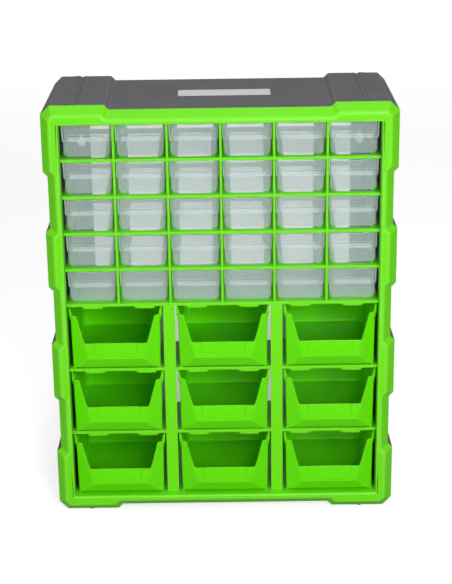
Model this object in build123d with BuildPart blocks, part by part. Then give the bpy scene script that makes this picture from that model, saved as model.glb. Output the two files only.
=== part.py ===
# Parts drawer cabinet: a moulded carcass with small clear drawers above and open-fronted bins below.
# Millimetres, Z up, front towards -Y, origin on the ground under the middle of the cabinet.
import os
from math import atan2, degrees

from build123d import *

os.makedirs("parts", exist_ok=True)

# Overall size
overall_width = 380.0
overall_depth = 160.0
overall_height = 475.0

# Stepped outline that the frame and the housing share
block_step = 5.0  # corner blocks and side bumps stand this far proud
corner_chamfer = 10.0
block_length = 68.0  # of a corner block along the top or bottom edge
bump_length = 62.5  # of each bump up the sides
bump_count = 4

# Front frame
bevel_depth = 11.0
bevel_inset = 9.3
side_bar = 14.0
cross_bar = 15.0
collar_wall = 2.5
collar_depth = 8.0
rim_wall = 4.6
hollow_depth = 7.0
tongue_length = 7.0
tongue_width = 30.0
tongue_gap = 0.3

# Rear housing
housing_wall = 2.5
housing_draft = 2.4  # how far each side leans in by the back
seam_width = 2.0
seam_depth = 1.5
rear_rim = 38.0
keyhole_inset = 30.0  # from the outer side face
keyhole_drop = 80.0  # from the top
keyhole_head_radius = 4.5
keyhole_slot_radius = 2.4
keyhole_rise = 9.0
channel_inset = 35.0  # from the outer side face
channel_width = 5.0
channel_depth = 0.6

# Foot pads and label
foot_height = 2.0
foot_radius = 3.5
foot_inset = 36.5  # from the outer side face
foot_setback = 3.5  # from the seam plane, and from the back
label_width = 101.0
label_length = 30.0
label_thickness = 0.3
label_shift = 4.8
label_setback = 74.0  # middle of the label behind the seam plane

# Rows and columns
drawer_columns = 6
drawer_rows = 5
bin_columns = 3
bin_rows = 3
bin_pitch = 76.5
rear_space = 20.0  # free space between the runners and the housing's back

# Dividers, tiers, shelves and mullions
divider_thickness = 2.6
stop_thickness = 2.0
stop_width = 16.0
stop_height = 22.0
rear_rail_thickness = 1.5
rear_rail_height = 5.0
rail_thickness = 3.3
rail_depth = 8.0
ledge_width = 9.0
ledge_thickness = 2.0
shelf_thickness = 3.3
bin_shelf_depth = 80.0
floor_thickness = 2.5
tab_width = 19.5
tab_height = 2.4
tab_flare = 1.8
tab_thickness = 2.5
bead_height = 1.9
bead_width = 2.0
bead_setback = 8.5
mullion_width = 13.0
mullion_thickness = 3.0
web_thickness = 2.4

# Running clearances
slide_gap = 0.3  # under each drawer and bin
stop_gap = 0.5  # between a closed drawer or bin and its stop
drawer_side_gap = 0.6  # beside the hood
drawer_head_gap = 1.2
tab_head_gap = 1.0  # between a stop tab and the drawer above it
bin_side_gap = 1.4  # beside the rim
bin_head_gap = 1.4

# Small drawer
drawer_wall = 1.2
drawer_setback = 10.0  # lower front behind the lattice
drawer_draft = 0.8
drawer_corner = 5.0
hood_height = 18.2
hood_reach = 3.0
hood_overhang = 1.0  # beyond the tray on each side
hood_draft = 0.6
scoop_depth = 2.0  # dip in the middle of the hood's top edge
scoop_inset = 3.0  # from the hood's sides to the ends of the dip
pull_height = 6.0
pull_reach = 4.0
pull_inset = 6.0
stop_tab_width = 16.0

# Bin
bin_wall = 1.8
bin_corner = 9.0  # radius of the upright corners at the back
bin_jog = 1.9  # rim stands out this far on each side
bin_draft = 0.9
bin_rim_height = 10.5
bin_cheek_drop = 8.0  # cheek tops below the rim
bin_cheek_width = 6.0  # of a cheek at its top
bin_cheek_run = 18.0  # of a cheek across the front
bin_reach = 10.0  # of the lip ahead of the lattice
bin_lip_low = 15.5
bin_lip_top = 32.5
bin_lip_lean = 2.0
bin_facet_back = 7.2
bin_skirt = 2.5
bin_skirt_width = 3.5
bin_rib_setback = 6.0
bin_rib_width = 2.0
bin_rib_clear = 0.4
card_width = 48.6
card_height = 11.5
card_depth = 0.8

# Planes and edges worked out from the sizes above
front_y = -overall_depth / 2
back_y = overall_depth / 2
seam_y = front_y + bevel_depth
outer_half = overall_width / 2
side_half = outer_half - block_step
recess_low = foot_height + block_step
recess_top = overall_height - block_step
open_half = side_half - side_bar
open_low = recess_low + cross_bar
open_top = recess_top - cross_bar
open_height = open_top - open_low
open_middle = (open_low + open_top) / 2
collar_back = seam_y + collar_depth
stop_y = back_y - housing_wall - rear_space
runner_back = stop_y + stop_thickness
bump_pitch = (overall_height - foot_height - 2 * corner_chamfer - bump_length) / (bump_count - 1)

# Places of the rows and columns
column_pitch = 2 * open_half / drawer_columns
cell_half = (column_pitch - divider_thickness) / 2
main_shelf_top = open_low + bin_rows * bin_pitch
drawer_pitch = (open_top + rail_thickness / 2 - main_shelf_top) / drawer_rows
bin_width = (2 * open_half - (bin_columns - 1) * mullion_width) / bin_columns
bin_column_pitch = bin_width + mullion_width
divider_xs = [(k - drawer_columns / 2) * column_pitch for k in range(1, drawer_columns)]
drawer_xs = [(k + 0.5 - drawer_columns / 2) * column_pitch for k in range(drawer_columns)]
bin_xs = [(k + 0.5 - bin_columns / 2) * bin_column_pitch for k in range(bin_columns)]
mullion_xs = [(k - bin_columns / 2) * bin_column_pitch for k in range(1, bin_columns)]
tier_tops = [main_shelf_top + k * drawer_pitch for k in range(1, drawer_rows)]
bin_shelf_tops = [open_low + k * bin_pitch for k in range(1, bin_rows)]


def upright(y):
    """Plane facing the front at depth y, with its own axes along X and Z."""
    return Plane.XZ.offset(-y)


def stepped_outline(step):
    """Corner points of the cabinet's outline, with blocks and bumps that stand out by step."""
    block_inner = outer_half - block_length
    side = side_half + step
    low = recess_low - step
    top = recess_top + step
    right = [(block_inner - step, recess_low), (block_inner, low)]
    right += [(side - corner_chamfer, low), (side, low + corner_chamfer)]
    for k in range(1, bump_count):
        bump_low = foot_height + corner_chamfer + k * bump_pitch
        gap_low = bump_low - bump_pitch + bump_length
        right += [(side, gap_low), (side_half, gap_low + step)]
        right += [(side_half, bump_low - step), (side, bump_low)]
    right += [(side, top - corner_chamfer), (side - corner_chamfer, top)]
    right += [(block_inner, top), (block_inner - step, recess_top)]
    left = [(-x, z) for x, z in reversed(right)]
    return right + left


def outline_face(step, inset):
    """Face of the stepped outline, drawn in by inset, in the sketch that is open."""
    Polygon(*stepped_outline(step), align=None)
    if inset:
        offset(amount=-inset, kind=Kind.INTERSECTION)


def save(piece, name):
    """Label a finished piece and write its file."""
    piece.label = name
    export_step(piece, f"parts/{name}.step")


# Front frame: a bevelled bezel with a collar round its opening, hollow behind
hollow_inset = rim_wall + bevel_inset * hollow_depth / bevel_depth
with BuildPart() as frame_hollow:
    with BuildSketch(upright(seam_y)):
        outline_face(block_step, rim_wall)
    with BuildSketch(upright(seam_y - hollow_depth)):
        outline_face(block_step, hollow_inset)
    loft(ruled=True)
    with BuildSketch(upright(seam_y)):
        with Locations((0, open_middle)):
            Rectangle(2 * (open_half + collar_wall), open_height + 2 * collar_wall)
    extrude(amount=bevel_depth, mode=Mode.SUBTRACT)

tongue_reach = housing_wall + tongue_gap
tongue_thickness = rim_wall - tongue_reach
side_tongue_x = side_half - tongue_reach - tongue_thickness / 2
cross_tongue_low = recess_low + tongue_reach + tongue_thickness / 2
cross_tongue_top = recess_top - tongue_reach - tongue_thickness / 2
cross_tongue_x = (outer_half - block_length) / 2
gap_middles = [
    foot_height + corner_chamfer + bump_length + (k + 0.5) * bump_pitch - bump_length / 2
    for k in range(bump_count - 1)
]
with BuildPart() as front_frame:
    with BuildSketch(upright(seam_y)):
        outline_face(block_step, 0)
    with BuildSketch(upright(front_y)):
        outline_face(block_step, bevel_inset)
    loft(ruled=True)
    add(frame_hollow.part, mode=Mode.SUBTRACT)
    with BuildSketch(upright(collar_back)):
        with Locations((0, open_middle)):
            Rectangle(2 * (open_half + collar_wall), open_height + 2 * collar_wall)
    extrude(amount=collar_depth)
    with BuildSketch(upright(collar_back)):
        with Locations((0, open_middle)):
            Rectangle(2 * open_half, open_height)
    extrude(amount=collar_depth + bevel_depth, mode=Mode.SUBTRACT)
    with BuildSketch(upright(seam_y)):
        with Locations([(x, z) for x in (-side_tongue_x, side_tongue_x) for z in gap_middles]):
            Rectangle(tongue_thickness, tongue_width)
        with Locations([(x, z) for x in (-cross_tongue_x, cross_tongue_x)
                        for z in (cross_tongue_low, cross_tongue_top)]):
            Rectangle(tongue_width, tongue_thickness)
    extrude(amount=-tongue_length)
save(front_frame.part, "front_frame")

# Rear housing: a drafted shell, open at the front, with a rim round its open back
neck_step = block_step - seam_depth
keyhole_x = outer_half - keyhole_inset
keyhole_z = overall_height - keyhole_drop
slot_top = keyhole_z + keyhole_rise
rear_open_width = 2 * (outer_half - housing_draft - rear_rim)
rear_open_height = overall_height - foot_height - 2 * (housing_draft + rear_rim)
body_middle = (foot_height + overall_height) / 2
with BuildPart() as rear_housing:
    with BuildSketch(upright(seam_y + seam_width)):
        outline_face(block_step, 0)
    with BuildSketch(upright(back_y)):
        outline_face(block_step, housing_draft)
    loft(ruled=True)
    with BuildSketch(upright(seam_y + seam_width)):
        outline_face(neck_step, 0)
    extrude(amount=seam_width)
    with BuildSketch(upright(seam_y)):
        outline_face(neck_step, housing_wall)
    with BuildSketch(upright(back_y - housing_wall)):
        outline_face(neck_step, housing_wall + housing_draft)
    loft(ruled=True, mode=Mode.SUBTRACT)
    with BuildSketch(upright(back_y)):
        with Locations((0, body_middle)):
            Rectangle(rear_open_width, rear_open_height)
    extrude(amount=housing_wall, mode=Mode.SUBTRACT)
    with BuildSketch(upright(back_y)):
        with Locations((-keyhole_x, keyhole_z), (keyhole_x, keyhole_z)):
            Circle(keyhole_head_radius)
        with Locations((-keyhole_x, (keyhole_z + slot_top) / 2), (keyhole_x, (keyhole_z + slot_top) / 2)):
            Rectangle(2 * keyhole_slot_radius, keyhole_rise)
        with Locations((-keyhole_x, slot_top), (keyhole_x, slot_top)):
            Circle(keyhole_slot_radius)
    extrude(amount=housing_wall, mode=Mode.SUBTRACT)
    channel_x = outer_half - channel_inset
    for x in (-channel_x, channel_x):
        with BuildSketch(Plane.YZ.offset(x - channel_width / 2)):
            with BuildLine():
                Polyline(
                    (seam_y + seam_width, overall_height + 1),
                    (seam_y + seam_width, overall_height - channel_depth),
                    (back_y, overall_height - channel_depth - housing_draft),
                    (back_y, overall_height + 1),
                    close=True,
                )
            make_face()
        extrude(amount=channel_width, mode=Mode.SUBTRACT)
save(rear_housing.part, "rear_housing")

# Foot pads, cut to the slope of the housing's underside
draft_run = back_y - seam_y - seam_width
draft_angle = degrees(atan2(housing_draft, draft_run))
foot_x = outer_half - foot_inset
front_foot_y = seam_y + seam_width + foot_setback
rear_foot_y = back_y - foot_setback
underside = Plane((0, seam_y + seam_width, foot_height)).rotated((draft_angle, 0, 0))
with BuildPart() as foot_pads:
    with BuildSketch():
        with Locations([(x, y) for x in (-foot_x, foot_x) for y in (front_foot_y, rear_foot_y)]):
            Circle(foot_radius)
    extrude(amount=foot_height + 2 * housing_draft)
    split(bisect_by=underside, keep=Keep.BOTTOM)
save(foot_pads.part, "foot_pads")

# Blank label on the sloping top of the housing
label_top = Plane((label_shift, seam_y + seam_width, recess_top)).rotated((-draft_angle, 0, 0))
with BuildPart() as blank_label:
    with BuildSketch(label_top):
        with Locations((0, label_setback - seam_width)):
            Rectangle(label_width, label_length)
    extrude(amount=label_thickness)
save(blank_label.part, "blank_label")

# Stop tabs for the bins, one under each column of drawers, hanging from a shelf at height zero
tab_outline = [
    (-tab_width / 2 - tab_flare, 0),
    (-tab_width / 2, -tab_height),
    (tab_width / 2, -tab_height),
    (tab_width / 2 + tab_flare, 0),
]
with BuildPart() as shelf_tabs:
    with BuildSketch(upright(seam_y + tab_thickness)):
        with Locations([(x, 0) for x in drawer_xs]):
            Polygon(*tab_outline, align=None)
    extrude(amount=tab_thickness)

# Main shelf, under the drawers
with BuildPart() as main_shelf:
    with BuildSketch(Plane.XY.offset(main_shelf_top - shelf_thickness)):
        with Locations((0, (seam_y + runner_back) / 2)):
            Rectangle(2 * open_half, runner_back - seam_y)
    extrude(amount=shelf_thickness)
    with Locations((0, 0, main_shelf_top - shelf_thickness)):
        add(shelf_tabs.part)
save(main_shelf.part, "main_shelf")

# Stop beads that keep the bins from going in too far, standing on a shelf at height zero
bead_length = bin_width - 2 * (bin_side_gap + bin_jog + bin_draft + bin_skirt_width + bead_width)
with BuildPart() as shelf_beads:
    with BuildSketch():
        with Locations([(x, seam_y + bead_setback + bead_width / 2) for x in bin_xs]):
            Rectangle(bead_length, bead_width)
    extrude(amount=bead_height)

# Bin shelves, notched for the mullions
for name, top in zip(("lower_bin_shelf", "upper_bin_shelf"), bin_shelf_tops):
    with BuildPart() as bin_shelf:
        with BuildSketch(Plane.XY.offset(top - shelf_thickness)):
            with Locations((0, seam_y + bin_shelf_depth / 2)):
                Rectangle(2 * open_half, bin_shelf_depth)
            with Locations([(x, seam_y + mullion_thickness / 2) for x in mullion_xs]):
                Rectangle(mullion_width, mullion_thickness, mode=Mode.SUBTRACT)
        extrude(amount=shelf_thickness)
        with Locations((0, 0, top - shelf_thickness)):
            add(shelf_tabs.part)
        with Locations((0, 0, top)):
            add(shelf_beads.part)
    save(bin_shelf.part, name)

# Bin floor, behind the frame's collar
with BuildPart() as bin_floor:
    with BuildSketch(Plane.XY.offset(open_low - floor_thickness)):
        with Locations((0, (collar_back + runner_back) / 2)):
            Rectangle(2 * open_half, runner_back - collar_back)
    extrude(amount=floor_thickness)
    with Locations((0, 0, open_low)):
        add(shelf_beads.part)
save(bin_floor.part, "bin_floor")

# Mullions between the bins: a wide front strip on a web that the shelves pass through
mullion_height = main_shelf_top - shelf_thickness - open_low
web_depth = bin_shelf_depth - mullion_thickness
web_y = seam_y + mullion_thickness + web_depth / 2
with BuildPart() as mullion:
    with BuildSketch(Plane.XY.offset(open_low)):
        with Locations((0, seam_y + mullion_thickness / 2)):
            Rectangle(mullion_width, mullion_thickness)
    extrude(amount=mullion_height)
    with BuildSketch(Plane.YZ.offset(-web_thickness / 2)):
        with Locations((web_y, open_low + mullion_height / 2)):
            Rectangle(web_depth, mullion_height)
        with Locations([(web_y, top - shelf_thickness / 2) for top in bin_shelf_tops]):
            Rectangle(web_depth, shelf_thickness, mode=Mode.SUBTRACT)
    extrude(amount=web_thickness)
for name, x in zip(("left_bin_mullion", "right_bin_mullion"), mullion_xs):
    with BuildPart() as placed_mullion:
        with Locations((x, 0, 0)):
            add(mullion.part)
    save(placed_mullion.part, name)

# Drawer tiers: a front rail with a runner ledge on each side of every column
ledge_length = stop_y - seam_y - rail_depth
ledge_y = seam_y + rail_depth + ledge_length / 2
ledge_xs = [x + side * (divider_thickness + ledge_width) / 2 for x in divider_xs for side in (-1, 1)]
ledge_xs += [side * (open_half - ledge_width / 2) for side in (-1, 1)]
for number, top in enumerate(tier_tops, 1):
    with BuildPart() as tier:
        with BuildSketch(Plane.XY.offset(top)):
            with Locations((0, seam_y + rail_depth / 2)):
                Rectangle(2 * open_half, rail_depth)
        extrude(amount=-rail_thickness)
        with BuildSketch(Plane.XY.offset(top)):
            with Locations([(x, ledge_y) for x in ledge_xs]):
                Rectangle(ledge_width, ledge_length)
        extrude(amount=-ledge_thickness)
    save(tier.part, f"drawer_tier_{number}")

# Drawer dividers: an upright halved over the front rails, with a stop at the back of each row
divider_height = open_top - main_shelf_top
with BuildPart() as divider:
    with BuildSketch(Plane.XY.offset(main_shelf_top)):
        with Locations((0, (seam_y + stop_y) / 2)):
            Rectangle(divider_thickness, stop_y - seam_y)
    extrude(amount=divider_height)
    with BuildSketch(upright(runner_back)):
        with Locations([(0, floor + stop_height / 2) for floor in [main_shelf_top, *tier_tops]]):
            Rectangle(stop_width, stop_height)
        with Locations([(0, top - rear_rail_height / 2) for top in tier_tops]):
            Rectangle(stop_width, rear_rail_height)
    extrude(amount=stop_thickness)
    with BuildSketch(Plane.YZ.offset(-divider_thickness / 2)):
        with Locations([(seam_y + rail_depth / 2, top - rail_thickness / 2) for top in tier_tops]):
            Rectangle(rail_depth, rail_thickness)
    extrude(amount=divider_thickness, mode=Mode.SUBTRACT)
for number, x in enumerate(divider_xs, 1):
    with BuildPart() as placed_divider:
        with Locations((x, 0, 0)):
            add(divider.part)
    save(placed_divider.part, f"drawer_divider_{number}")

# Rear rails across the backs of the stops, one at each tier
with BuildPart() as rear_rails:
    with BuildSketch(upright(runner_back + rear_rail_thickness)):
        with Locations([(0, top - rear_rail_height / 2) for top in tier_tops]):
            Rectangle(2 * open_half, rear_rail_height)
    extrude(amount=rear_rail_thickness)
save(rear_rails.part, "drawer_rear_rails")

# Small drawer: a clear tray with a wide hood, a pull ledge and a stop tab at the back
drawer_front = seam_y + drawer_setback
drawer_back = stop_y - stop_gap
drawer_height = drawer_pitch - rail_thickness - slide_gap - drawer_head_gap
hood_half = cell_half - drawer_side_gap
hood_low = drawer_height - hood_height
tray_top_half = hood_half - hood_overhang
tray_base_half = tray_top_half - drawer_draft
pull_half = hood_half - pull_inset
scoop_half = hood_half - scoop_inset
stop_tab_top = drawer_pitch - tab_head_gap


def tray_section(inset, top):
    """Rounded section of the drawer's tray, drawn in by inset and open to height top."""
    base = tray_base_half - inset
    lean = drawer_draft * (top - inset) / drawer_height
    Polygon((-base, inset), (base, inset), (base + lean, top), (-base - lean, top), align=None)
    fillet(vertices().group_by(Axis.Y)[0], radius=drawer_corner - inset)


with BuildPart() as drawer:
    with BuildSketch(upright(drawer_front)):
        tray_section(0, drawer_height)
    extrude(amount=drawer_front - drawer_back)
    with BuildSketch(upright(drawer_front + drawer_wall)):
        tray_section(drawer_wall, drawer_height + drawer_wall)
    extrude(amount=drawer_front - drawer_back + 2 * drawer_wall, mode=Mode.SUBTRACT)
    with BuildSketch(upright(drawer_front)):
        with BuildLine():
            Polyline(
                (-hood_half + hood_draft, hood_low),
                (hood_half - hood_draft, hood_low),
                (hood_half, drawer_height),
                (-hood_half, drawer_height),
                close=True,
            )
        make_face()
    extrude(amount=hood_reach)
    with BuildSketch(upright(drawer_front - hood_reach)):
        with Locations((0, hood_low + pull_height / 2)):
            Rectangle(2 * pull_half, pull_height)
    extrude(amount=pull_reach)
    with BuildSketch(upright(drawer_front - hood_reach)):
        with Locations((0, hood_low + (pull_height - drawer_wall) / 2)):
            Rectangle(2 * (pull_half - drawer_wall), pull_height - drawer_wall)
    extrude(amount=pull_reach - drawer_wall, mode=Mode.SUBTRACT)
    with BuildSketch(upright(drawer_front + drawer_wall)):
        with BuildLine():
            ThreePointArc(
                (-scoop_half, drawer_height),
                (0, drawer_height - scoop_depth),
                (scoop_half, drawer_height),
            )
            Line((scoop_half, drawer_height), (-scoop_half, drawer_height))
        make_face()
    extrude(amount=drawer_wall + hood_reach, mode=Mode.SUBTRACT)
    with BuildSketch(upright(drawer_back)):
        with Locations((0, (drawer_height - drawer_wall + stop_tab_top) / 2)):
            Rectangle(stop_tab_width, stop_tab_top - drawer_height + drawer_wall)
    extrude(amount=drawer_wall)
for row in range(drawer_rows):
    base = main_shelf_top + (drawer_rows - 1 - row) * drawer_pitch + slide_gap
    for column, x in enumerate(drawer_xs):
        with BuildPart() as placed_drawer:
            with Locations((x, 0, base)):
                add(drawer.part)
        save(placed_drawer.part, f"drawer_row{row + 1}_col{column + 1}")

# Bin: an open-fronted box with angled cheeks, a leaning lip and a wider rim
bin_back = stop_y - stop_gap
bin_height = bin_pitch - shelf_thickness - slide_gap - bin_head_gap
rim_half = bin_width / 2 - bin_side_gap
jog_height = bin_height - bin_rim_height
cheek_top = bin_height - bin_cheek_drop
base_half = rim_half - bin_jog - bin_draft
lip_half = base_half - bin_cheek_run
lip_y = seam_y - bin_reach
lean_slope = bin_lip_lean / (bin_lip_top - bin_lip_low)
facet_slope = bin_facet_back / (bin_lip_low - bin_skirt)
bin_draft_angle = degrees(atan2(bin_draft, jog_height))
bin_plan = [
    (base_half, bin_back),
    (-base_half, bin_back),
    (-base_half, seam_y),
    (-lip_half, lip_y),
    (lip_half, lip_y),
    (base_half, seam_y),
]


def lip_face(z):
    """Depth of the lip's leaning face at height z above the bin's base."""
    return lip_y + lean_slope * (z - bin_lip_low)


def bin_core(inset, floor, top):
    """Body of the bin below its rim, drawn in by inset, from height floor to height top."""
    with BuildPart() as core:
        with BuildSketch(Plane.XY.offset(floor)):
            with BuildLine():
                Polyline(*bin_plan, close=True)
            make_face()
            if inset:
                offset(amount=-inset, kind=Kind.INTERSECTION)
            fillet(vertices().group_by(Axis.Y)[-1], radius=bin_corner - inset)
        extrude(amount=top - floor, taper=-bin_draft_angle)
        with BuildSketch(Plane.YZ.offset(-rim_half)):
            with BuildLine():
                Polyline(
                    (bin_back + bin_jog, 0),
                    (lip_y + facet_slope * bin_lip_low, 0),
                    (lip_y, bin_lip_low),
                    (lip_face(top + inset), top + inset),
                    (bin_back + bin_jog, top + inset),
                    close=True,
                )
            make_face()
            if inset:
                offset(amount=-inset, kind=Kind.INTERSECTION)
        extrude(amount=2 * rim_half, mode=Mode.INTERSECT)
    return core.part


bin_outside = bin_core(0, 0, cheek_top)
bin_inside = bin_core(bin_wall, bin_skirt + bin_wall, bin_height + bin_wall)
rim_back = bin_back + bin_jog
rim_corner = bin_corner + bin_jog
skirt_half = base_half - bin_skirt_width
with BuildPart() as bin_box:
    add(bin_outside)
    with BuildSketch(Plane.XY.offset(jog_height)):
        with Locations((0, (seam_y + rim_back) / 2)):
            Rectangle(2 * rim_half, rim_back - seam_y)
        fillet(vertices().group_by(Axis.Y)[-1], radius=rim_corner)
    extrude(amount=bin_rim_height)
    add(bin_inside, mode=Mode.SUBTRACT)
    with BuildSketch(Plane.XY.offset(jog_height + bin_wall)):
        with Locations((0, (lip_y + rim_back - bin_wall) / 2)):
            Rectangle(2 * (rim_half - bin_wall), rim_back - bin_wall - lip_y)
        fillet(vertices().group_by(Axis.Y)[-1], radius=rim_corner - bin_wall)
    extrude(amount=bin_rim_height, mode=Mode.SUBTRACT)
    with BuildSketch(upright(seam_y + bin_wall)):
        with BuildLine():
            Polyline(
                (-lip_half - bin_cheek_run * bin_lip_lean / bin_reach, bin_lip_top),
                (lip_half + bin_cheek_run * bin_lip_lean / bin_reach, bin_lip_top),
                (base_half - bin_cheek_width, cheek_top),
                (-base_half + bin_cheek_width, cheek_top),
                close=True,
            )
        make_face()
    extrude(amount=bin_wall + bin_reach, mode=Mode.SUBTRACT)
    with BuildSketch(Plane.YZ.offset(-card_width / 2)):
        with BuildLine():
            Polyline(
                (lip_y - card_depth, bin_lip_top - card_height),
                (lip_face(bin_lip_top - card_height) + card_depth, bin_lip_top - card_height),
                (lip_face(bin_lip_top) + card_depth, bin_lip_top),
                (lip_y - card_depth, bin_lip_top),
                close=True,
            )
        make_face()
    extrude(amount=card_width, mode=Mode.SUBTRACT)
    with BuildSketch():
        with Locations((0, (lip_y + rim_back) / 2)):
            Rectangle(2 * skirt_half, rim_back - lip_y)
    extrude(amount=bin_skirt, mode=Mode.SUBTRACT)
    with BuildSketch(Plane.XY.offset(bin_rib_clear)):
        with Locations((0, seam_y + bin_rib_setback + bin_rib_width / 2)):
            Rectangle(2 * skirt_half, bin_rib_width)
    extrude(amount=bin_skirt - bin_rib_clear)
for row in range(bin_rows):
    base = open_low + (bin_rows - 1 - row) * bin_pitch + slide_gap
    for column, x in enumerate(bin_xs):
        with BuildPart() as placed_bin:
            with Locations((x, 0, base)):
                add(bin_box.part)
        save(placed_bin.part, f"bin_row{row + 1}_col{column + 1}")
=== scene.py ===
import math

import bmesh
import bpy
from mathutils import Matrix, Vector


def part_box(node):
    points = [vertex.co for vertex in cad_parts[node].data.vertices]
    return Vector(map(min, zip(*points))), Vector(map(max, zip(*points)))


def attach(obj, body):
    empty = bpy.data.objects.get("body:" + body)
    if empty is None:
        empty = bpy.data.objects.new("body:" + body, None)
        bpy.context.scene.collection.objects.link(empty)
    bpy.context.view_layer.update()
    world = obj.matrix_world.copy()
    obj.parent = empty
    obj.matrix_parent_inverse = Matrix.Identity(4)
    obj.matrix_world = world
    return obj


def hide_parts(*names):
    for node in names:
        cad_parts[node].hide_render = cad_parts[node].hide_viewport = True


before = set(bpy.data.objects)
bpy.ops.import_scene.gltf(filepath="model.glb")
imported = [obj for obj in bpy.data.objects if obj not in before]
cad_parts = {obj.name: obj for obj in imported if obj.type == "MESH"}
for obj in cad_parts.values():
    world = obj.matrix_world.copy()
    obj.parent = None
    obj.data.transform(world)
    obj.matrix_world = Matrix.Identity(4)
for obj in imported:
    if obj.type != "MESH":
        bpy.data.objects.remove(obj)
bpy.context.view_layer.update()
scene = bpy.context.scene
scene.view_settings.view_transform = "Standard"
print("frame loaded with", len(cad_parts), "nodes")


# camera, placed by the photograph's own viewpoint
cameraView = {"place": (0.0024, -1.7764, 0.8861), "pitch": 20.03, "yaw": 0.05, "roll": -0.76, "lens": 102.37}

turn = (Matrix.Rotation(math.radians(cameraView["roll"]), 3, "Y")
        @ Matrix.Rotation(math.radians(cameraView["pitch"]), 3, "X")
        @ Matrix.Rotation(math.radians(cameraView["yaw"]), 3, "Z"))
rightWay, aheadWay, upWay = turn[0], turn[1], turn[2]
cameraData = bpy.data.cameras.new("photoCamera")
cameraData.lens = cameraView["lens"]  # on a 36 mm sensor, along the frame's long side
cameraData.clip_end = 50
camera = bpy.data.objects.new("photoCamera", cameraData)
facing = Matrix((rightWay, upWay, -aheadWay)).transposed()
camera.matrix_world = Matrix.Translation(cameraView["place"]) @ facing.to_4x4()
scene.collection.objects.link(camera)
scene.camera = camera
print("camera set")


# small tools for nodes, objects and meshes
def addObject(name, mesh):
    piece = bpy.data.objects.new(name, mesh)
    scene.collection.objects.link(piece)
    return piece


def bakedMesh(piece):  # the mesh with its modifiers applied
    bpy.context.view_layer.update()
    graph = bpy.context.evaluated_depsgraph_get()
    return bpy.data.meshes.new_from_object(piece.evaluated_get(graph))


def settle(piece):  # swap the piece's modifiers for their result
    made = bakedMesh(piece)
    piece.modifiers.clear()
    piece.data = made
    return piece


def markEdges(mesh, faces):  # rounded edges, for the materials to find
    mark = mesh.attributes.new("mouldedEdge", "FLOAT", "FACE")
    for index in faces:
        mark.data[index].value = 1.0


def splitHollow(bm):  # faces with an inward corner are cut where it points
    bmesh.ops.connect_verts_concave(bm, faces=[face for face in bm.faces if len(face.verts) > 3])


def evenShading(piece, sharp=None):  # large flat faces look flat, and the roundings carry the turn
    piece.data.shade_smooth()
    if sharp:
        piece.data.set_sharp_from_angle(angle=math.radians(sharp))
    even = piece.modifiers.new("evenShading", "WEIGHTED_NORMAL")
    even.weight = 80
    even.keep_sharp = bool(sharp)
    settle(piece)


def roundEdges(piece, radius, steps=2, sharp=28, weighted=False):
    bevel = piece.modifiers.new("roundEdges", "BEVEL")
    bevel.width = radius / 1000
    bevel.segments = steps
    bevel.limit_method = "WEIGHT" if weighted else "ANGLE"
    bevel.angle_limit = math.radians(sharp)
    bevel.use_clamp_overlap = False
    bevel.loop_slide = False  # even widths, whatever way the inner edges run
    bevel.miter_outer = "MITER_ARC"
    while len(piece.data.materials) < 2:
        piece.data.materials.append(None)
    bevel.material = 1  # the new faces are known by their slot
    settle(piece)
    bm = bmesh.new()
    bm.from_mesh(piece.data)
    splitHollow(bm)
    bm.to_mesh(piece.data)
    bm.free()
    evenShading(piece)
    markEdges(piece.data, [face.index for face in piece.data.polygons if face.material_index == 1])
    for face in piece.data.polygons:
        face.material_index = 0
    while piece.data.materials and piece.data.materials[-1] is None:
        piece.data.materials.pop()
    return piece


def tidyFaces(mesh, flat=0.4):  # loose triangles become clean flat faces
    loose = mesh.attributes.get("custom_normal")
    if loose:
        mesh.attributes.remove(loose)
    bm = bmesh.new()
    bm.from_mesh(mesh)
    bmesh.ops.remove_doubles(bm, verts=bm.verts, dist=2e-6)
    bmesh.ops.dissolve_limit(bm, angle_limit=math.radians(flat), verts=bm.verts, edges=bm.edges)
    splitHollow(bm)
    bm.to_mesh(mesh)
    bm.free()


def weighEdges(mesh, radiusOf, sharp=24):  # radiusOf gives a sharp edge its share of the full radius
    bm = bmesh.new()
    bm.from_mesh(mesh)
    layer = bm.edges.layers.float.new("bevel_weight_edge")
    for edge in bm.edges:
        if len(edge.link_faces) == 2 and edge.calc_face_angle() > math.radians(sharp):
            edge[layer] = radiusOf(edge)
    bm.to_mesh(mesh)
    bm.free()


def frameCopy(name, nodeName):  # a merged copy of one piece of the frame
    piece = addObject(name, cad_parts[nodeName].data.copy())
    piece.data.materials.clear()
    tidyFaces(piece.data)
    return piece


def keepInside(mesh, nodes):  # rounding at sharp corners may not swell past the pieces' own box
    boxes = [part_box(node) for node in nodes]
    low = [min(box[0][k] for box in boxes) for k in range(3)]
    high = [max(box[1][k] for box in boxes) for k in range(3)]
    for vert in mesh.vertices:
        vert.co = Vector(min(max(vert.co[k], low[k]), high[k]) for k in range(3))


def finishPiece(piece, body, slotName, material, *nodes):
    keepInside(piece.data, nodes)
    if not piece.data.materials:
        piece.data.materials.append(material)
    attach(piece, body)
    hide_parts(*nodes)


def boxMesh(name, low, high):  # a box between two corners in millimetres
    bm = bmesh.new()
    bmesh.ops.create_cube(bm, size=1)
    for vert in bm.verts:
        vert.co = Vector((low[k] if vert.co[k] < 0 else high[k]) / 1000 for k in range(3))
    mesh = bpy.data.meshes.new(name)
    bm.to_mesh(mesh)
    bm.free()
    return mesh


def joinMeshes(name, *meshes):  # closed shells side by side in one mesh
    bm = bmesh.new()
    for mesh in meshes:
        bm.from_mesh(mesh)
    made = bpy.data.meshes.new(name)
    bm.to_mesh(made)
    bm.free()
    return made


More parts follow.
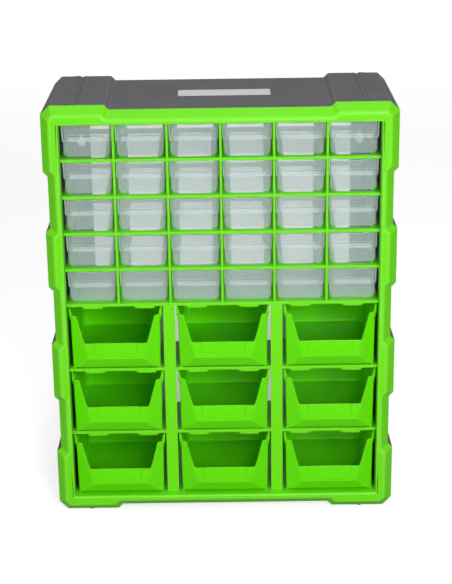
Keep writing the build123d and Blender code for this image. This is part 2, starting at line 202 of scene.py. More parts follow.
# shader groups that the plastics share
def newGroup(name, inputs, outputs):
    group = bpy.data.node_groups.new(name, "ShaderNodeTree")
    for label, (kind, value) in inputs.items():
        socket = group.interface.new_socket(label, in_out="INPUT", socket_type=kind)
        socket.default_value = value
    for label, kind in outputs.items():
        group.interface.new_socket(label, in_out="OUTPUT", socket_type=kind)
    return group, group.nodes.new("NodeGroupInput"), group.nodes.new("NodeGroupOutput")


def mathNode(nodes, links, how, first, second):
    node = nodes.new("ShaderNodeMath")
    node.operation = how
    for socket, value in zip(node.inputs, (first, second)):
        if isinstance(value, (int, float)):
            socket.default_value = value
        else:
            links.new(value, socket)
    return node.outputs[0]


def objectNoise(nodes, links, size, detail):  # noise whose blotches are about size metres across
    place = nodes.new("ShaderNodeTexCoord")
    noise = nodes.new("ShaderNodeTexNoise")
    noise.inputs["Detail"].default_value = detail
    links.new(place.outputs["Object"], noise.inputs["Vector"])
    links.new(mathNode(nodes, links, "DIVIDE", 1.0, size), noise.inputs["Scale"])
    return noise.outputs[0]


def makeToneDrift():  # faint flow marks in the moulded colour
    group, given, out = newGroup(
        "toneDrift",
        {"Colour": ("NodeSocketColor", (0.5, 0.5, 0.5, 1)), "Drift": ("NodeSocketFloat", 0.05),
         "Patch Size": ("NodeSocketFloat", 0.05)},
        {"Colour": "NodeSocketColor"})
    nodes, links = group.nodes, group.links
    blotch = objectNoise(nodes, links, given.outputs["Patch Size"], 3)
    swing = mathNode(nodes, links, "SUBTRACT", blotch, 0.5)
    drift = mathNode(nodes, links, "MULTIPLY", swing, given.outputs["Drift"])
    tone = nodes.new("ShaderNodeHueSaturation")
    links.new(given.outputs["Colour"], tone.inputs["Color"])
    links.new(mathNode(nodes, links, "ADD", drift, 1.0), tone.inputs["Value"])
    links.new(tone.outputs["Color"], out.inputs["Colour"])
    return group


def makeMouldGrain():  # fine mould texture: a height for bump, and gloss that varies a little
    group, given, out = newGroup(
        "mouldGrain",
        {"Grain Size": ("NodeSocketFloat", 0.0006), "Roughness": ("NodeSocketFloat", 0.4),
         "Spread": ("NodeSocketFloat", 0.1)},
        {"Height": "NodeSocketFloat", "Roughness": "NodeSocketFloat"})
    nodes, links = group.nodes, group.links
    links.new(objectNoise(nodes, links, given.outputs["Grain Size"], 2), out.inputs["Height"])
    wide = mathNode(nodes, links, "MULTIPLY", given.outputs["Grain Size"], 40.0)
    swing = mathNode(nodes, links, "SUBTRACT", objectNoise(nodes, links, wide, 2), 0.5)
    gloss = mathNode(nodes, links, "MULTIPLY", swing, given.outputs["Spread"])
    links.new(mathNode(nodes, links, "ADD", gloss, given.outputs["Roughness"]), out.inputs["Roughness"])
    return group


def makeEdgeRub():  # paler rounded edges: partly rubbed wear, partly a painted highlight where the edges catch light
    group, given, out = newGroup(
        "edgeRub",
        {"Colour": ("NodeSocketColor", (0.5, 0.5, 0.5, 1)),
         "Edge Colour": ("NodeSocketColor", (0.8, 0.8, 0.8, 1)),
         "Rub": ("NodeSocketFloat", 0.3), "Patchy": ("NodeSocketFloat", 1.0)},
        {"Colour": "NodeSocketColor", "Mask": "NodeSocketFloat"})
    nodes, links = group.nodes, group.links
    mark = nodes.new("ShaderNodeAttribute")
    mark.attribute_name = "mouldedEdge"
    swing = mathNode(nodes, links, "SUBTRACT", objectNoise(nodes, links, 0.012, 3), 0.5)
    patches = mathNode(nodes, links, "MULTIPLY", swing, given.outputs["Patchy"])
    uneven = mathNode(nodes, links, "ADD", patches, 1.0)
    # mask of the marked edges: rubbed wear plus a painted highlight
    rubAndGlint = mathNode(nodes, links, "MULTIPLY", mark.outputs["Fac"], uneven)
    mask = mathNode(nodes, links, "MULTIPLY", rubAndGlint, given.outputs["Rub"])
    mix = nodes.new("ShaderNodeMix")
    mix.data_type = "RGBA"
    links.new(mask, mix.inputs[0])
    links.new(given.outputs["Colour"], mix.inputs[6])
    links.new(given.outputs["Edge Colour"], mix.inputs[7])
    links.new(mix.outputs[2], out.inputs["Colour"])
    links.new(mask, out.inputs["Mask"])
    return group


toneDrift = makeToneDrift()
mouldGrain = makeMouldGrain()
edgeRub = makeEdgeRub()


def plastic(finish):
    material = bpy.data.materials.new(finish["name"])
    material.use_nodes = True
    nodes, links = material.node_tree.nodes, material.node_tree.links
    shader = nodes["Principled BSDF"]

    def place(group, **values):
        node = nodes.new("ShaderNodeGroup")
        node.node_tree = group
        for label, value in values.items():
            node.inputs[label.replace("_", " ")].default_value = value
        return node

    tone = place(toneDrift, Colour=(*finish["colour"], 1), Drift=finish["drift"], Patch_Size=finish["patch"])
    # the paler edge colour is partly a painted highlight on the rounded edges
    edge = place(edgeRub, Edge_Colour=(*finish["edgeColour"], 1), Rub=finish["rubGlint"],
                 Patchy=finish.get("patchy", 1.0))
    links.new(tone.outputs["Colour"], edge.inputs["Colour"])
    links.new(edge.outputs["Colour"], shader.inputs["Base Color"])
    surface = place(mouldGrain, Grain_Size=finish["grain"], Roughness=finish["roughness"],
                    Spread=finish["spread"])
    links.new(surface.outputs["Roughness"], shader.inputs["Roughness"])
    relief = nodes.new("ShaderNodeBump")
    relief.inputs["Distance"].default_value = finish["bump"]
    links.new(surface.outputs["Height"], relief.inputs["Height"])
    links.new(relief.outputs["Normal"], shader.inputs["Normal"])
    if "haze" in finish:  # see-through walls, with denser rounded edges
        clear, dense = finish["haze"]
        slant = nodes.new("ShaderNodeLayerWeight")  # a wall seen aslant is thicker to look through
        slant.inputs["Blend"].default_value = 0.1
        thick = mathNode(nodes, links, "MAXIMUM", edge.outputs["Mask"], slant.outputs["Facing"])
        swing = mathNode(nodes, links, "MULTIPLY", thick, dense - clear)
        path = nodes.new("ShaderNodeLightPath")  # haze scatters a lamp's light onwards more than it stops it
        passed = mathNode(nodes, links, "MULTIPLY", path.outputs["Is Shadow Ray"], finish["pass"])
        kept = mathNode(nodes, links, "SUBTRACT", 1.0, passed)
        veil = mathNode(nodes, links, "ADD", swing, clear)
        links.new(mathNode(nodes, links, "MULTIPLY", veil, kept), shader.inputs["Alpha"])
    shader.inputs["Specular IOR Level"].default_value = finish["shine"]
    return material


frameGreen = plastic({"name": "frameGreen", "colour": (0.165, 0.77, 0.008), "drift": 0.06, "patch": 0.09,
                      "edgeColour": (0.26, 0.85, 0.06), "rubGlint": 0.5, "grain": 0.0007, "roughness": 0.36,
                      "spread": 0.08, "bump": 0.00002, "shine": 0.2})
binGreen = plastic({"name": "binGreen", "colour": (0.132, 0.76, 0.002), "drift": 0.06, "patch": 0.07,
                    "edgeColour": (0.24, 0.87, 0.04), "rubGlint": 0.5, "grain": 0.0005, "roughness": 0.20,
                    "spread": 0.06, "bump": 0.00001, "shine": 0.18})
shellGrey = plastic({"name": "shellGrey", "colour": (0.112, 0.112, 0.126), "drift": 0.10, "patch": 0.05,
                     "edgeColour": (0.17, 0.17, 0.18), "rubGlint": 0.6, "grain": 0.0008, "roughness": 0.50,
                     "spread": 0.10, "bump": 0.00009, "shine": 0.35})
drawerClear = plastic({"name": "drawerClear", "colour": (0.71, 0.83, 0.84), "drift": 0.03, "patch": 0.03,
                       "edgeColour": (0.92, 0.97, 0.97), "rubGlint": 0.8, "patchy": 0.2, "grain": 0.0009,
                       "roughness": 0.20, "spread": 0.06, "bump": 0.00002, "shine": 1.0,
                       "haze": (0.195, 0.88), "pass": 0.8})
stickerWhite = plastic({"name": "stickerWhite", "colour": (0.90, 0.895, 0.91), "drift": 0.05, "patch": 0.02,
                        "edgeColour": (0.5, 0.5, 0.5), "rubGlint": 0.4, "grain": 0.0004, "roughness": 0.45,
                        "spread": 0.08, "bump": 0.00001, "shine": 0.3})
padRubber = plastic({"name": "padRubber", "colour": (0.05, 0.06, 0.045), "drift": 0.15, "patch": 0.004,
                     "edgeColour": (0.10, 0.11, 0.09), "rubGlint": 0.6, "grain": 0.0005, "roughness": 0.75,
                     "spread": 0.10, "bump": 0.00005, "shine": 0.3})
print("materials made")


# rear housing and front frame, with every moulded edge softened
housingPiece = {"node": "rear_housing", "radius": 0.9, "steps": 2}
framePiece = {"node": "front_frame", "radius": 2.2, "steps": 4, "frontLine": -0.0705, "small": 0.2}

rearHousing = frameCopy("rearHousing", housingPiece["node"])
roundEdges(rearHousing, housingPiece["radius"], housingPiece["steps"])
finishPiece(rearHousing, "cabinet", "grey_plastic", shellGrey, housingPiece["node"])

frontFrame = frameCopy("frontFrame", framePiece["node"])


def frameEdge(edge):  # full radius on the ridge, a small one behind it
    ahead = all(vert.co.y < framePiece["frontLine"] for vert in edge.verts)
    return 1.0 if ahead else framePiece["small"]


weighEdges(frontFrame.data, frameEdge)
roundEdges(frontFrame, framePiece["radius"], framePiece["steps"], weighted=True)
finishPiece(frontFrame, "cabinet", "green_plastic", frameGreen, framePiece["node"])
print("housing and frame made")


# shelves, mullions and bin floor
shelfPieces = {"mainShelf": "main_shelf", "upperBinShelf": "upper_bin_shelf",
               "lowerBinShelf": "lower_bin_shelf", "binFloor": "bin_floor",
               "leftMullion": "left_bin_mullion", "rightMullion": "right_bin_mullion"}
shelfRadius = 0.45

for name, nodeName in shelfPieces.items():
    shelf = frameCopy(name, nodeName)
    roundEdges(shelf, shelfRadius)
    finishPiece(shelf, "cabinet", "green_plastic", frameGreen, nodeName)
print("shelves made")


# geometry node trees: named sizes in, one plain mesh out
def newTree(name, sizes):
    tree = bpy.data.node_groups.new(name, "GeometryNodeTree")
    for label, kind in sizes.items():
        tree.interface.new_socket(label, in_out="INPUT", socket_type="NodeSocket" + kind)
    tree.interface.new_socket("Geometry", in_out="OUTPUT", socket_type="NodeSocketGeometry")
    return tree, tree.nodes.new("NodeGroupInput"), tree.nodes.new("NodeGroupOutput")


barSockets = {"Size": "Vector", "Start": "Vector", "Step": "Vector", "Count": "Int",
              "Cross Step": "Vector", "Cross Count": "Int"}


def makeBarArray():  # equal bars in rows and columns
    tree, given, out = newTree("barArray", barSockets)
    nodes, links = tree.nodes, tree.links
    row = nodes.new("GeometryNodeMeshLine")
    row.mode = "OFFSET"
    column = nodes.new("GeometryNodeMeshLine")
    column.mode = "OFFSET"
    bar = nodes.new("GeometryNodeMeshCube")
    spread = nodes.new("GeometryNodeInstanceOnPoints")
    place = nodes.new("GeometryNodeInstanceOnPoints")
    real = nodes.new("GeometryNodeRealizeInstances")
    for label, socket in (("Count", row.inputs["Count"]), ("Start", row.inputs["Start Location"]),
                          ("Step", row.inputs["Offset"]), ("Cross Count", column.inputs["Count"]),
                          ("Cross Step", column.inputs["Offset"]), ("Size", bar.inputs["Size"])):
        links.new(given.outputs[label], socket)
    links.new(column.outputs["Mesh"], spread.inputs["Points"])
    links.new(bar.outputs["Mesh"], spread.inputs["Instance"])
    links.new(row.outputs["Mesh"], place.inputs["Points"])
    links.new(spread.outputs["Instances"], place.inputs["Instance"])
    links.new(place.outputs["Instances"], real.inputs["Geometry"])
    links.new(real.outputs["Geometry"], out.inputs["Geometry"])
    return tree


barArray = makeBarArray()


def makeLattice(families):  # families of bars fused into one moulding
    sizes = {f"{family} {label}": kind for family in families for label, kind in barSockets.items()}
    tree, given, out = newTree("drawerLattice", {**sizes, "Finish": "Material"})
    nodes, links = tree.nodes, tree.links
    fuse = nodes.new("GeometryNodeMeshBoolean")
    fuse.operation = "UNION"
    fuse.solver = "EXACT"
    for family in families:
        bars = nodes.new("GeometryNodeGroup")
        bars.node_tree = barArray
        for label in barSockets:
            links.new(given.outputs[f"{family} {label}"], bars.inputs[label])
        links.new(bars.outputs["Geometry"], fuse.inputs["Mesh 2"])
    real = nodes.new("GeometryNodeRealizeInstances")
    paint = nodes.new("GeometryNodeSetMaterial")
    links.new(fuse.outputs["Mesh"], real.inputs["Geometry"])
    links.new(real.outputs["Geometry"], paint.inputs["Geometry"])
    links.new(given.outputs["Finish"], paint.inputs["Material"])
    links.new(paint.outputs["Geometry"], out.inputs["Geometry"])
    return tree


def runTree(name, tree, values):  # a new object with the tree's result as its mesh
    piece = addObject(name, bpy.data.meshes.new(name))
    maker = piece.modifiers.new(tree.name, "NODES")
    maker.node_group = tree
    for item in tree.interface.items_tree:
        if item.in_out == "INPUT":
            maker[item.identifier] = values[item.name]
    return settle(piece)


def metres(*values):
    return tuple(value / 1000 for value in values)


# drawer lattice: rails, runner ledges, dividers and the stops behind the drawers
lattice = {"frontY": -69.0, "railDepth": 8.0, "railHeight": 3.3, "ledgeWidth": 9.0, "ledgeHeight": 2.0,
           "dividerWidth": 2.6, "stopY": 57.5, "stopDepth": 2.0, "stopWidth": 16.0, "stopHeight": 22.0,
           "openHalf": 171.0, "columns": 6, "rearDepth": 1.5, "rearHeight": 5.0, "lap": 0.6,
           "setBack": 0.1, "radius": 0.4}

tiers = [f"drawer_tier_{k}" for k in range(1, 5)]
dividers = [f"drawer_divider_{k}" for k in range(1, 6)]
railTops = [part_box(tier)[1].z * 1000 for tier in tiers]
railPitch = railTops[1] - railTops[0]
dividerLow, dividerHigh = (corner.z * 1000 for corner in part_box(dividers[0]))
columnPitch = 2 * lattice["openHalf"] / lattice["columns"]
ledgeFront = lattice["frontY"] + lattice["railDepth"] - lattice["lap"]
ledgeBack = lattice["stopY"] + lattice["lap"]
stopMiddle = lattice["stopY"] + lattice["stopDepth"] / 2
rearBack = lattice["stopY"] + lattice["stopDepth"] + lattice["rearDepth"]
dividerMiddle = (dividerLow + dividerHigh) / 2
ledgeReach = lattice["dividerWidth"] + 2 * lattice["ledgeWidth"]
ledgeZ = railTops[0] - lattice["ledgeHeight"] / 2
endWidth = lattice["ledgeWidth"]
endX = lattice["openHalf"] - endWidth / 2
railY = lattice["frontY"] + lattice["setBack"] + lattice["railDepth"] / 2
firstX = -(len(dividers) - 1) / 2 * columnPitch
latticeFamilies = {
    "Rail": (metres(2 * lattice["openHalf"], lattice["railDepth"], lattice["railHeight"]),
             metres(0, railY, railTops[0] - lattice["railHeight"] / 2),
             metres(0, 0, railPitch), len(tiers), (0, 0, 0), 1),
    "Ledge": (metres(ledgeReach, ledgeBack - ledgeFront, lattice["ledgeHeight"]),
              metres(firstX, (ledgeFront + ledgeBack) / 2, ledgeZ),
              metres(0, 0, railPitch), len(tiers), metres(columnPitch, 0, 0), len(dividers)),
    "End Ledge": (metres(endWidth, ledgeBack - ledgeFront - lattice["lap"], lattice["ledgeHeight"]),
                  metres(-endX, (ledgeFront + ledgeBack - lattice["lap"]) / 2, ledgeZ),
                  metres(0, 0, railPitch), len(tiers), metres(2 * endX, 0, 0), 2),
    "Divider": (metres(lattice["dividerWidth"], ledgeBack - lattice["frontY"], dividerHigh - dividerLow),
                metres(firstX, (lattice["frontY"] + ledgeBack) / 2, dividerMiddle),
                metres(columnPitch, 0, 0), len(dividers), (0, 0, 0), 1),
    "Rear Rail": (metres(2 * lattice["openHalf"], rearBack - ledgeBack, lattice["rearHeight"]),
                  metres(0, (ledgeBack + rearBack) / 2, railTops[0] - lattice["rearHeight"] / 2),
                  metres(0, 0, railPitch), len(tiers), (0, 0, 0), 1),
    "Stop": (metres(lattice["stopWidth"], lattice["stopDepth"],
                    lattice["stopHeight"] + lattice["rearHeight"]),
             metres(firstX, stopMiddle,
                    railTops[0] + (lattice["stopHeight"] - lattice["rearHeight"]) / 2),
             metres(0, 0, railPitch), len(tiers), metres(columnPitch, 0, 0), len(dividers)),
    "Shelf Stop": (metres(lattice["stopWidth"], lattice["stopDepth"], lattice["stopHeight"]),
                   metres(firstX, stopMiddle, dividerLow + lattice["stopHeight"] / 2),
                   metres(columnPitch, 0, 0), len(dividers), (0, 0, 0), 1),
}
latticeTree = makeLattice(latticeFamilies)
latticeValues = {"Finish": frameGreen}
for family, values in latticeFamilies.items():
    latticeValues.update({f"{family} {label}": value for label, value in zip(barSockets, values)})
drawerLattice = runTree("drawerLattice", latticeTree, latticeValues)
tidyFaces(drawerLattice.data)
roundEdges(drawerLattice, lattice["radius"])
finishPiece(drawerLattice, "cabinet", "green_plastic", frameGreen, *tiers, *dividers, "drawer_rear_rails")
print("drawer lattice made:", len(drawerLattice.data.polygons), "faces")


# foot pads and the blank sticker
padPiece = {"node": "foot_pads", "radius": 0.5}
stickerPiece = {"node": "blank_label", "corner": 1.6}

footPads = frameCopy("footPads", padPiece["node"])
roundEdges(footPads, padPiece["radius"], 3)
finishPiece(footPads, "cabinet", "pad_rubber", padRubber, padPiece["node"])

sticker = frameCopy("blankSticker", stickerPiece["node"])
weighEdges(sticker.data, lambda edge: float(abs((edge.verts[0].co - edge.verts[1].co).normalized().z) > 0.9))
roundEdges(sticker, stickerPiece["corner"], 4, weighted=True)
finishPiece(sticker, "cabinet", "label_film", stickerWhite, stickerPiece["node"])
print("pads and sticker made")


# small drawers: one clear moulding, then a copy for each place
drawerPiece = {"rows": 5, "columns": 6, "radius": 0.35, "steps": 2, "hoodLine": -59.3, "pullLine": -62.2,
               "hoodHaze": 0.06, "pullHaze": 0.02}

drawerModel = frameCopy("drawerModel", "drawer_row1_col1")
roundEdges(drawerModel, drawerPiece["radius"], drawerPiece["steps"])
for face, mark in zip(drawerModel.data.polygons, drawerModel.data.attributes["mouldedEdge"].data):
    depth = face.center.y * 1000
    if depth < drawerPiece["pullLine"]:  # the pull stays clear, and the hood is a little hazier
        mark.value = drawerPiece["pullHaze"]
    elif depth < drawerPiece["hoodLine"] and mark.value == 0:
        mark.value = drawerPiece["hoodHaze"]
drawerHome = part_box("drawer_row1_col1")[0]
for row in range(1, drawerPiece["rows"] + 1):
    for column in range(1, drawerPiece["columns"] + 1):
        node = f"drawer_row{row}_col{column}"
        mesh = drawerModel.data.copy()
        mesh.transform(Matrix.Translation(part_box(node)[0] - drawerHome))
        finishPiece(addObject(f"clearDrawer_{row}_{column}", mesh), node, "clear_plastic", drawerClear, node)
bpy.data.objects.remove(drawerModel)
print("drawers made")


# bins: a lofted shell whose upright lines follow the lip, cheeks, sides and back
binPiece = {"wall": 1.8, "baseHalf": 48.47, "draft": 0.9, "back": 57.0, "seam": -69.0, "lipY": -79.0,
            "lipHalf": 30.47, "lipLow": 15.5, "lipTop": 32.5, "lean": 2.0, "facetBack": 8.58,
            "cheekTop": 63.5, "cheekWidth": 6.0, "rimLow": 61.0, "rimRise": 1.6, "rimTop": 71.5,
            "rimStep": 1.9, "under": 2.5, "footRadius": 1.0, "floorRadius": 2.5, "lipRadius": 9.0,
            "facetRadius": 0.9, "cheekRadius": 2.5,
            "backRadius": 9.0, "edge": 0.5, "slantEdge": 1.6, "cardHalf": 24.3, "cardHeight": 11.5,
            "cardDepth": 1.1, "cardBevel": 0.6, "sharp": 38}
underPiece = {"skirtInner": 44.97, "skirtFront": -67.5, "skirtBack": 46.0, "skirtTop": 3.5,
              "ribHalf": 44.0, "ribFront": -63.0, "ribBack": -61.0, "ribLow": 0.4, "ribTop": 3.4}


def softMax(first, second, blend):
    return (first + second + math.sqrt((first - second) ** 2 + blend ** 2)) / 2


def lipFront(z):  # depth of the front face at height z: facet below, leaning lip above
    facet = binPiece["facetBack"] * (1 - z / binPiece["lipLow"])
    lip = binPiece["lean"] * (z - binPiece["lipLow"]) / (binPiece["lipTop"] - binPiece["lipLow"])
    return binPiece["lipY"] + softMax(facet, lip, 0.3)


def binCorners(z, side, front):  # right-hand corners of the plan at height z, moved out by side and front
    draft = binPiece["draft"] * min(1.0, z / binPiece["rimLow"])
    reach = Vector((binPiece["baseHalf"] - binPiece["lipHalf"], binPiece["seam"] - binPiece["lipY"]))
    along = reach.normalized()
    outward = Vector((along.y, -along.x))
    start = Vector((binPiece["lipHalf"], binPiece["lipY"])) + outward * (draft + front)
    half = binPiece["baseHalf"] + draft + side
    frontY = lipFront(z) - front
    lip = start + along * (frontY - start.y) / along.y
    cheek = start + along * (half - start.x) / along.x
    rear = Vector((half, binPiece["back"] + side))
    return Vector((0, frontY)), lip, cheek, rear, Vector((0, rear.y))


def arcPoint(before, corner, after, radius, share):  # point on the rounded corner, share runs from 0 to 1
    into, away = (corner - before).normalized(), (after - corner).normalized()
    half = into.angle(away) / 2
    reach = radius * math.tan(half)
    first, last, weight = corner - into * reach, corner + away * reach, math.cos(half)
    parts = ((1 - share) ** 2, 2 * weight * share * (1 - share), share ** 2)
    return (first * parts[0] + corner * parts[1] + last * parts[2]) / sum(parts)


def planPoint(station, z, side=0.0, front=0.0):  # a station is a part of the outline and a place along it
    part, share = station
    corners = binCorners(z, side, front)
    if part == "lip":
        return Vector((share, corners[0].y))
    blend = min(1.0, max(0.0, (z - binPiece["lipLow"] + 1.5) / 5.0))
    lipRadius = binPiece["facetRadius"] + (binPiece["lipRadius"] - binPiece["facetRadius"]) * blend
    radii = [0.0, max(0.1, lipRadius + front), binPiece["cheekRadius"] + front,
             binPiece["backRadius"] + side]
    turns = {"lipCorner": 1, "cheekCorner": 2, "backCorner": 3}
    if part in turns:
        k = turns[part]
        return arcPoint(*corners[k - 1:k + 2], radii[k], share)
    run = {"cheek": 1, "side": 2, "rear": 3}[part]
    first = arcPoint(*corners[run - 1:run + 2], radii[run], 1)
    last = corners[4] if run == 3 else arcPoint(*corners[run:run + 3], radii[run + 1], 0)
    return first.lerp(last, share)


def cheekHeight(x):  # the slanting edge from the lip up to the cheek's flat top
    inner = binCorners(binPiece["lipTop"], 0, 0)[1].x
    outer = binPiece["baseHalf"] - binPiece["cheekWidth"]
    rise = binPiece["cheekTop"] - binPiece["lipTop"]
    line = (x - inner) / (outer - inner) * rise
    return binPiece["cheekTop"] - softMax(rise - softMax(line, 0, 3.0), 0, 3.0)


def topHeight(station):  # where the upright line at this station ends
    part = station[0]
    if part in ("side", "backCorner", "rear"):
        return binPiece["rimTop"]
    if part == "cheekCorner":
        return binPiece["cheekTop"]
    low, high = binPiece["lipTop"], binPiece["cheekTop"]
    if part == "lip":
        return low
    for _ in range(40):  # halve the range until the slanting edge crosses this line
        middle = (low + high) / 2
        low, high = (low, middle) if cheekHeight(planPoint(station, middle).x) < middle else (middle, high)
    return low


def steps(count):
    return [k / count for k in range(count + 1)]


def binStations():  # right half of the outline, from the middle of the lip to the middle of the back
    card = binPiece["cardHalf"]
    stations = [("lip", x) for x in (0, card / 3, card * 2 / 3, card - binPiece["cardBevel"], card)]
    stations += [("lipCorner", share) for share in steps(6)]
    stations += [("cheek", share) for share in steps(18)[1:-1]]
    stations += [("cheekCorner", share) for share in steps(3)]
    stations += [("side", share) for share in (0.002, 0.012, 0.05, 0.2, 0.4, 0.6, 0.8)]
    stations += [("backCorner", share) for share in steps(7)]
    return stations + [("rear", share) for share in steps(4)[1:]]


def binLine(station):  # one upright line: up the outside, over the edge and down the inside
    wall, top = binPiece["wall"], topHeight(station)
    rim = binPiece["rimStep"] if top == binPiece["rimTop"] else 0.0
    slanted = station[0] == "cheek" and top < binPiece["cheekTop"] - 0.5
    edge = binPiece["slantEdge"] if slanted else binPiece["edge"]
    cardLow = binPiece["lipTop"] - binPiece["cardHeight"]

    def rimOut(z):  # the rim steps outwards over a short rise
        grow = min(1.0, max(0.0, (z - binPiece["rimLow"]) / binPiece["rimRise"]))
        return rim * grow * grow * (3 - 2 * grow)

    def outside(z):
        point = planPoint(station, z, rimOut(z))
        inCard = station[0] == "lip" and station[1] < binPiece["cardHalf"] - 0.1 and z >= cardLow
        return Vector((point.x, point.y + (binPiece["cardDepth"] if inCard else 0.0), z))

    def inside(z):
        point = planPoint(station, z, rimOut(z) - wall, -wall)
        return Vector((point.x, point.y, z))

    def curve(z, radius, turn):  # rounded lower corner, out from the floor to the wall
        rise = radius * (1 - math.cos(turn * math.pi / 2))
        return z + rise, radius * (1 - math.sin(turn * math.pi / 2))

    line = []
    for turn in steps(3):
        z, inset = curve(binPiece["under"], binPiece["footRadius"], turn)
        line.append((*planPoint(station, z, -inset, -inset), z))
    low, high = binPiece["lipLow"], top - edge
    shares = (0.05, 0.12, 0.22, 0.305, 0.325, 0.45, 0.58, 0.70)
    rimHeights = [(binPiece["rimLow"] + rise - low) / (binPiece["rimTop"] - binPiece["edge"] - low)
                  for rise in (-0.4, 0.0, 0.4, 0.8, 1.2, 1.6)]
    heights = [6.0, 10.0, 13.5, low - 0.7, low - 0.3, low, low + 0.3]
    heights += [low + share * (high - low) for share in (*shares, *rimHeights, 0.93)]
    if station[0] == "lip":  # the card recess starts between two level rows
        heights[heights.index(low + shares[3] * (high - low))] = cardLow - binPiece["cardBevel"]
        heights[heights.index(low + shares[4] * (high - low))] = cardLow
    line += [outside(z) for z in heights + [high]]
    for first, second, turns in ((outside, inside, ((0.3, 0.3), (0.0, 1.0))),
                                 (inside, outside, ((0.0, 1.0), (0.3, 0.3)))):
        for drop, reach in turns:
            z = top - edge * drop
            line.append(first(z).lerp(second(z), reach * binPiece["edge"] / wall))
    line += [inside(z) for z in [high, *reversed(heights[3:])] + [10.5]]
    for turn in reversed(steps(4)):
        z, inset = curve(binPiece["under"] + wall, binPiece["floorRadius"], turn)
        line.append((*planPoint(station, z, -wall - inset, -wall - inset), z))
    return line


def makeBinShell():
    stations = binStations()
    columns = [binLine(station) for station in stations]
    columns += [[(-x, y, z) for x, y, z in line] for line in reversed(columns[1:-1])]
    parts = [part for part, share in stations]
    ahead = [k for k, part in enumerate(parts) if part in ("lip", "lipCorner", "cheek", "cheekCorner")]
    corner = [k for k, part in enumerate(parts) if part == "lipCorner"]
    lipEdge, topEdge = range(7, 10), range(26, 31)  # rows along the lip's lower edge and over the top, made paler as a painted highlight line
    bm = bmesh.new()
    grid = [[bm.verts.new(Vector(point) / 1000) for point in line] for line in columns]
    # faces on these rows get the paler edge colour: a painted highlight line along the lip and over the top
    rubAndGlint = []
    for k, (first, second) in enumerate(zip(grid, grid[1:] + grid[:1])):
        place = min(k, len(grid) - 1 - k)  # the same on both halves
        for row in range(len(first) - 1):
            bm.faces.new((first[row], second[row], second[row + 1], first[row + 1]))
            slope = corner[0] <= place < corner[-1] and row < lipEdge[-1]
            level = place < corner[-1] and row in lipEdge
            over = place < ahead[-1] and row in topEdge
            rubAndGlint.append(slope or level or over)
    for ring in ([line[0] for line in reversed(grid)], [line[-1] for line in grid]):  # underside and floor
        middle = bm.verts.new(sum((vert.co for vert in ring), Vector()) / len(ring))
        for first, second in zip(ring, ring[1:] + ring[:1]):
            bm.faces.new((first, second, middle))
    mesh = bpy.data.meshes.new("binShell")
    bm.to_mesh(mesh)
    bm.free()
    markEdges(mesh, [k for k, marked in enumerate(rubAndGlint) if marked])
    return mesh


skirts = []
for side in (-1, 1):  # skirts that run on the shelf
    left, right = sorted((side * underPiece["skirtInner"], side * binPiece["baseHalf"]))
    skirts.append(boxMesh("skirt", (left, underPiece["skirtFront"], 0.0),
                          (right, underPiece["skirtBack"], underPiece["skirtTop"])))
rib = boxMesh("rib", (-underPiece["ribHalf"], underPiece["ribFront"], underPiece["ribLow"]),
              (underPiece["ribHalf"], underPiece["ribBack"], underPiece["ribTop"]))
binModel = addObject("binModel", joinMeshes("binModel", makeBinShell(), *skirts, rib))
evenShading(binModel, binPiece["sharp"])
for row in range(1, 4):
    for column in range(1, 4):
        node = f"bin_row{row}_col{column}"
        low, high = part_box(node)
        mesh = binModel.data.copy()
        mesh.transform(Matrix.Translation(((low.x + high.x) / 2, 0, low.z)))
        finishPiece(addObject(f"openBin_{row}_{column}", mesh), node, "green_plastic", binGreen, node)
print("bins made:", len(binModel.data.polygons), "faces each")
bpy.data.objects.remove(binModel)


# studio: pale floor with a painted shadow behind the object, white surround and soft lamps
studio = {"floorSize": 9.0, "floorTone": 0.9, "floorBounce": 0.42, "floorLift": 0.60, "shade": 0.75,
          "shadeSide": (0.26, 0.07), "shadeNear": (0.0, 0.14), "shadeFar": (0.72, 0.52),
          "front": 0.10, "behind": 0.40, "aim": (0.0, 0.0, 0.24)}
lamps = {"key": {"place": (0.28, -1.55, 0.98), "wide": 0.26, "tall": 0.26, "power": 5.5},
         "side": {"place": (0.66, -1.52, 0.80), "wide": 0.36, "tall": 0.30, "power": 7.3},
         "low": {"place": (0.12, -1.05, 0.47), "wide": 0.3, "tall": 0.12, "power": 2.1},
         "fill": {"place": (-0.9, -1.5, 0.6), "wide": 0.9, "tall": 0.9, "power": 6.8},
         "top": {"place": (0.0, -0.4, 1.8), "wide": 1.2, "tall": 1.2, "power": 6.3},
         "backdrop": {"place": (0.0, 3.4, 1.2), "wide": 3.0, "tall": 1.2, "power": 12,
                      "aim": (0.0, 3.4, 0.0)}}


def seenRays(nodes, links):  # rays that show the surround, not those that light the object
    path = nodes.new("ShaderNodeLightPath")
    direct, through = path.outputs["Is Camera Ray"], path.outputs["Is Transmission Ray"]
    return mathNode(nodes, links, "MAXIMUM", direct, through)


floorMaterial = bpy.data.materials.new("paleFloor")
floorMaterial.use_nodes = True
nodes, links = floorMaterial.node_tree.nodes, floorMaterial.node_tree.links
shader = nodes["Principled BSDF"]
shader.inputs["Roughness"].default_value = 0.9
shader.inputs["Specular IOR Level"].default_value = 0.1
lift = nodes.new("ShaderNodeEmission")
seen = seenRays(nodes, links)
place = nodes.new("ShaderNodeTexCoord")
apart = nodes.new("ShaderNodeSeparateXYZ")
links.new(place.outputs["Object"], apart.inputs[0])
side = mathNode(nodes, links, "ABSOLUTE", apart.outputs["X"], 0.0)
shaded = studio["shade"]  # painted shadow: the floor's lift fades in a soft patch behind the object
depth = apart.outputs["Y"]
for source, edges in ((side, "shadeSide"), (depth, "shadeNear"), (depth, "shadeFar")):
    fade = nodes.new("ShaderNodeMapRange")
    fade.interpolation_type = "SMOOTHSTEP"
    fade.inputs["From Min"].default_value = studio[edges][0]
    fade.inputs["From Max"].default_value = studio[edges][1]
    links.new(source, fade.inputs["Value"])
    shaded = mathNode(nodes, links, "MULTIPLY", fade.outputs[0], shaded)
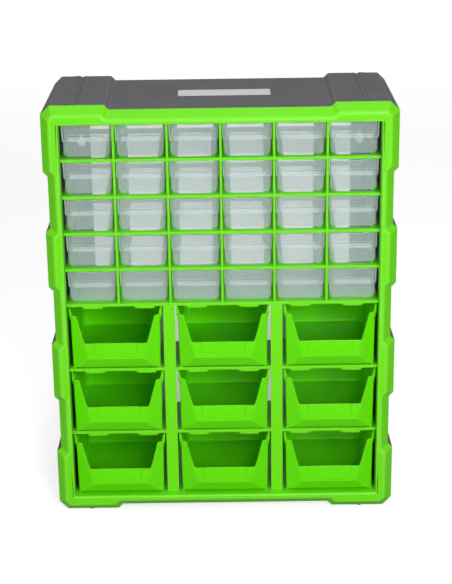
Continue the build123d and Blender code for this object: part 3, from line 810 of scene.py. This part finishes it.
clear = mathNode(nodes, links, "SUBTRACT", 1.0, shaded)
strength = mathNode(nodes, links, "MULTIPLY", clear, studio["floorLift"])
links.new(mathNode(nodes, links, "MULTIPLY", seen, strength), lift.inputs["Strength"])
swing = mathNode(nodes, links, "MULTIPLY", seen, studio["floorTone"] - studio["floorBounce"])
tone = nodes.new("ShaderNodeCombineColor")
for socket in tone.inputs:
    links.new(mathNode(nodes, links, "ADD", swing, studio["floorBounce"]), socket)
links.new(tone.outputs[0], shader.inputs["Base Color"])
both = nodes.new("ShaderNodeAddShader")
links.new(shader.outputs[0], both.inputs[0])
links.new(lift.outputs[0], both.inputs[1])
links.new(both.outputs[0], nodes["Material Output"].inputs["Surface"])
half = studio["floorSize"] * 500
floor = addObject("floor", boxMesh("floor", (-half, -half, -20), (half, half, 0)))
floor.data.materials.append(floorMaterial)

world = bpy.data.worlds.new("studio")
scene.world = world
world.use_nodes = True
nodes, links = world.node_tree.nodes, world.node_tree.links
place = nodes.new("ShaderNodeTexCoord")
apart = nodes.new("ShaderNodeSeparateXYZ")
links.new(place.outputs["Generated"], apart.inputs[0])
shade = nodes.new("ShaderNodeMapRange")
shade.inputs["From Min"].default_value = -0.35
shade.inputs["From Max"].default_value = 0.35
shade.inputs["To Min"].default_value = studio["front"]
shade.inputs["To Max"].default_value = studio["behind"]
links.new(apart.outputs["Y"], shade.inputs["Value"])
level = mathNode(nodes, links, "MAXIMUM", seenRays(nodes, links), shade.outputs[0])
links.new(level, nodes["Background"].inputs["Strength"])
nodes["Background"].inputs["Color"].default_value = (1, 1, 1, 1)

for name, lamp in lamps.items():
    data = bpy.data.lights.new(name, "AREA")
    data.shape = "RECTANGLE"
    data.size = lamp["wide"]
    data.size_y = lamp["tall"]
    data.energy = lamp["power"]
    light = bpy.data.objects.new(name, data)
    light.location = lamp["place"]
    ahead = Vector(lamp.get("aim", studio["aim"])) - light.location
    light.rotation_euler = ahead.to_track_quat("-Z", "Y").to_euler()
    light.visible_camera = False
    scene.collection.objects.link(light)
print("studio lit")
